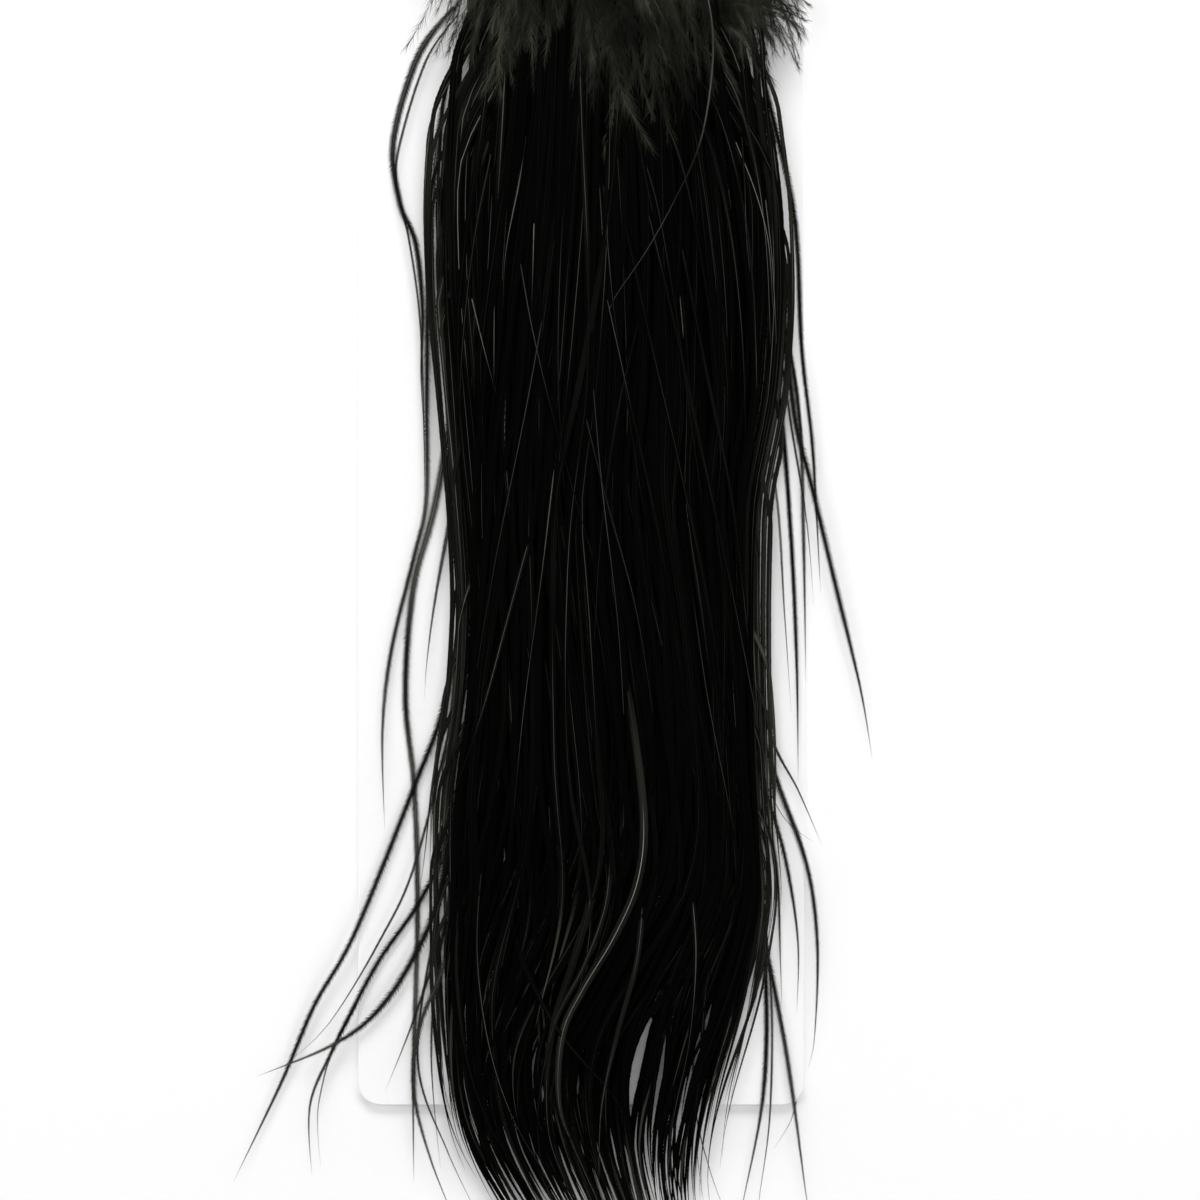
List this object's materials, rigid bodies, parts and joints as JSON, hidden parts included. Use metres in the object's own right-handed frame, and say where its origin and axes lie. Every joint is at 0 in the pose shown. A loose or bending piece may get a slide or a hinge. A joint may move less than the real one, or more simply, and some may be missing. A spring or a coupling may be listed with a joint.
{
  "type": "rooster saddle hackle on a backing card",
  "caption": "Black dyed rooster saddle: long slender hackle feathers on a patch of skin, with downy tufts at its top, lying on a white card.",
  "frame": {"origin": "middle of the backing card's back face, on the surface that the card lies on", "axes": "+X to the right of the picture, +Y up the card from the feather tips to the skin, +Z away from the card towards the viewer"},
  "size_m": [0.1431, 0.3339, 0.018],
  "materials": {
    "white_card": "matte",
    "cured_skin": "matte",
    "black_down": "matte",
    "black_hackle": "satin"
  },
  "bodies": {
    "root": {"backing_card": "white_card", "down_tuft_01": "black_down", "down_tuft_02": "black_down", "down_tuft_03": "black_down", "down_tuft_04": "black_down", "down_tuft_05": "black_down", "down_tuft_06": "black_down", "down_tuft_07": "black_down", "down_tuft_08": "black_down", "down_tuft_09": "black_down", "hackle_lock_01": "black_hackle", "hackle_lock_02": "black_hackle", "hackle_lock_03": "black_hackle", "hackle_lock_04": "black_hackle", "hackle_lock_05": "black_hackle", "hackle_lock_06": "black_hackle", "hackle_lock_07": "black_hackle", "hackle_lock_08": "black_hackle", "hackle_lock_09": "black_hackle", "hackle_lock_10": "black_hackle", "hackle_lock_11": "black_hackle", "hackle_lock_12": "black_hackle", "hackle_lock_13": "black_hackle", "hackle_lock_14": "black_hackle", "hackle_lock_15": "black_hackle", "hackle_lock_16": "black_hackle", "hackle_lock_17": "black_hackle", "hackle_lock_18": "black_hackle", "hackle_lock_19": "black_hackle", "hackle_lock_20": "black_hackle", "hackle_lock_21": "black_hackle", "hackle_lock_22": "black_hackle", "hackle_lock_23": "black_hackle", "hackle_lock_24": "black_hackle", "hackle_lock_25": "black_hackle", "hackle_lock_26": "black_hackle", "hackle_lock_27": "black_hackle", "skin_patch": "cured_skin", "stray_feather_left_01": "black_hackle", "stray_feather_left_02": "black_hackle", "stray_feather_left_03": "black_hackle", "stray_feather_left_04": "black_hackle", "stray_feather_left_05": "black_hackle", "stray_feather_left_06": "black_hackle", "stray_feather_left_07": "black_hackle", "stray_feather_left_08": "black_hackle", "stray_feather_left_09": "black_hackle", "stray_feather_right_01": "black_hackle", "stray_feather_right_02": "black_hackle", "stray_feather_right_03": "black_hackle", "stray_feather_right_04": "black_hackle", "stray_feather_right_05": "black_hackle", "stray_feather_right_06": "black_hackle", "stray_feather_right_07": "black_hackle", "stray_feather_right_08": "black_hackle", "stray_feather_right_09": "black_hackle", "stray_feather_right_10": "black_hackle", "stray_feather_top": "black_hackle"}
  },
  "joints": []
}
